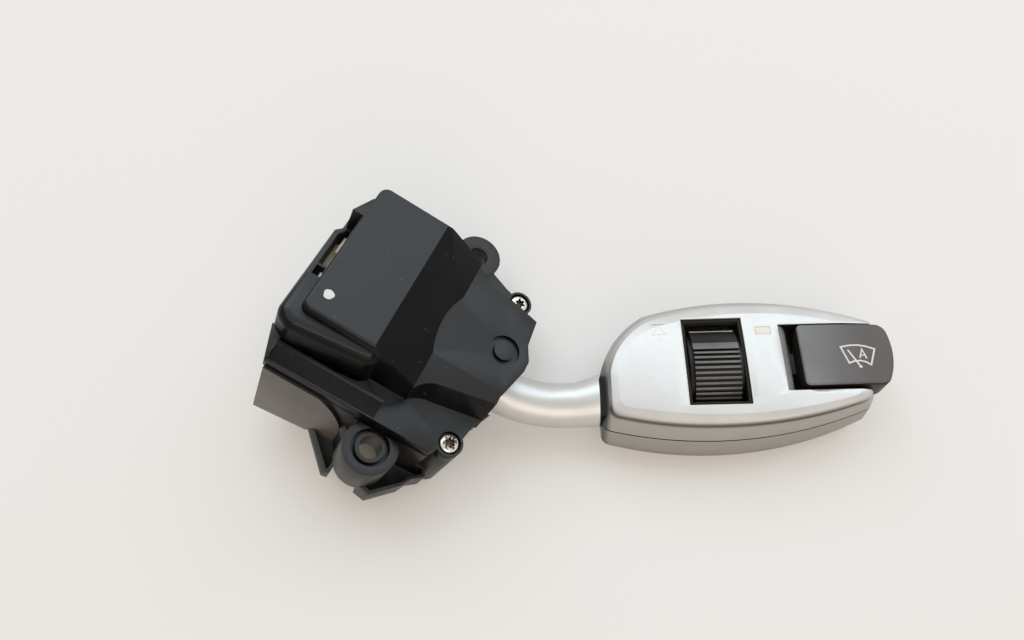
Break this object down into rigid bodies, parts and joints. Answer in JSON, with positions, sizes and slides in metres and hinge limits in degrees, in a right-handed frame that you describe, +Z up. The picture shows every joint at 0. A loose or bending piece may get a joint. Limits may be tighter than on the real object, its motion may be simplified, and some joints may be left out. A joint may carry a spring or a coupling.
{
  "type": "steering column wiper stalk switch",
  "caption": "Wiper stalk with a silver handle, thumbwheel and end button, on a black switch box with two ears for screws and a plug socket.",
  "frame": {"origin": "half way between the two mounting ears, on their upper faces' plane", "axes": "+Z up from the surface it lies on, +X along the handle away from the switch box; the steering column's axis is the mounting pattern's normal, tilted 24 degrees from +Z"},
  "size_m": [0.1663, 0.0735, 0.0526],
  "materials": {
    "black_cover": "moulded black nylon, satin",
    "black_base": "moulded black nylon, matte",
    "black_connector": "moulded black nylon, matte",
    "black_glass_nylon": "glass-filled nylon, matte",
    "black_switch": "moulded black plastic",
    "black_bezel": "moulded black plastic, fine sheen",
    "black_wheel": "soft black plastic, fine sheen",
    "grey_button": "dark grey plastic, satin",
    "silver_neck": "silver paint on plastic, satin",
    "silver_top": "silver paint on plastic, satin",
    "silver_lower": "silver paint on plastic, satin",
    "natural_acetal": "natural acetal",
    "cream_nylon": "cream nylon",
    "cream_lens": "translucent cream plastic",
    "board": "green solder mask on glass epoxy",
    "flat_lead": "amber polyimide film with copper tracks",
    "zinc_steel": "zinc plated",
    "spring_steel": "drawn wire",
    "tinned_brass": "tinned"
  },
  "bodies": {
    "switch_box": {"top_cover": "black_cover", "base_housing": "black_base", "cover_screws": "zinc_steel", "connector_frame": "black_connector", "connector_header": "cream_nylon", "contact_pins": "tinned_brass", "circuit_board": "board", "detent_cam": "natural_acetal", "washer_switch": "black_switch"},
    "carrier": {"swing_carrier": "natural_acetal", "cross_pin": "spring_steel"},
    "lever": {"lever_root": "black_glass_nylon", "lever_neck": "silver_neck", "lead_strip": "flat_lead", "grip_top_shell": "silver_top", "grip_lower_shell": "silver_lower", "shell_screws": "zinc_steel", "wheel_bezel": "black_bezel", "wheel_switch": "black_switch", "wheel_detent_spring": "spring_steel", "button_guide": "black_switch", "grip_board": "board", "button_switch": "black_switch", "indicator_lens": "cream_lens", "indicator_led": "cream_nylon"},
    "slider": {"contact_slider": "natural_acetal"},
    "plunger": {"detent_plunger": "natural_acetal", "detent_spring": "spring_steel"},
    "washer_pad": {"washer_plunger": "natural_acetal"},
    "wheel": {"thumbwheel": "black_wheel", "wheel_axle": "natural_acetal"},
    "button": {"end_button": "grey_button", "button_spring": "spring_steel"},
    "button_stem": {"button_switch_stem": "natural_acetal"}
  },
  "joints": [
    {"name": "wiper_swing", "type": "hinge", "parent": "switch_box", "child": "carrier", "pos_m": [0.00607, -0.00464, -0.0028], "axis": [0.4129, -0.008, 0.9107], "range_deg": [-6, 12]},
    {"name": "washer_pull", "type": "hinge", "parent": "carrier", "child": "lever", "pos_m": [0.00607, -0.00464, -0.0028], "axis": [-0.3754, -0.9126, 0.1622], "range_deg": [0, 6], "stiffness_Nm_per_rad": 3, "springref_deg": -2.86},
    {"name": "slider_travel", "type": "slide", "parent": "switch_box", "child": "slider", "axis": [0.3754, 0.9126, -0.1622], "range_m": [-0.0019, 0.00095]},
    {"name": "detent_travel", "type": "slide", "parent": "lever", "child": "plunger", "axis": [0.8298, -0.4089, -0.3798], "range_m": [0, 0.001], "stiffness_N_per_m": 1500, "springref_m": -0.002},
    {"name": "washer_stroke", "type": "slide", "parent": "switch_box", "child": "washer_pad", "axis": [-0.4129, 0.008, -0.9107], "range_m": [0, 0.00165]},
    {"name": "thumbwheel_turn", "type": "hinge", "parent": "lever", "child": "wheel", "pos_m": [0.0735, -0.006, -0.0123], "axis": [1, 0, 0], "range_deg": [-42, 0]},
    {"name": "button_press", "type": "slide", "parent": "lever", "child": "button", "axis": [-1, 0, 0], "range_m": [0, 0.002], "stiffness_N_per_m": 900, "springref_m": -0.002},
    {"name": "button_stem_travel", "type": "slide", "parent": "lever", "child": "button_stem", "axis": [-1, 0, 0], "range_m": [0, 0.002]}
  ],
  "couplings": [
    {"joint": "slider_travel", "follows": "wiper_swing", "m_per_rad": -0.009},
    {"joint": "washer_stroke", "follows": "washer_pull", "m_per_rad": 0.01575},
    {"joint": "button_stem_travel", "follows": "button_press", "ratio": 1}
  ]
}
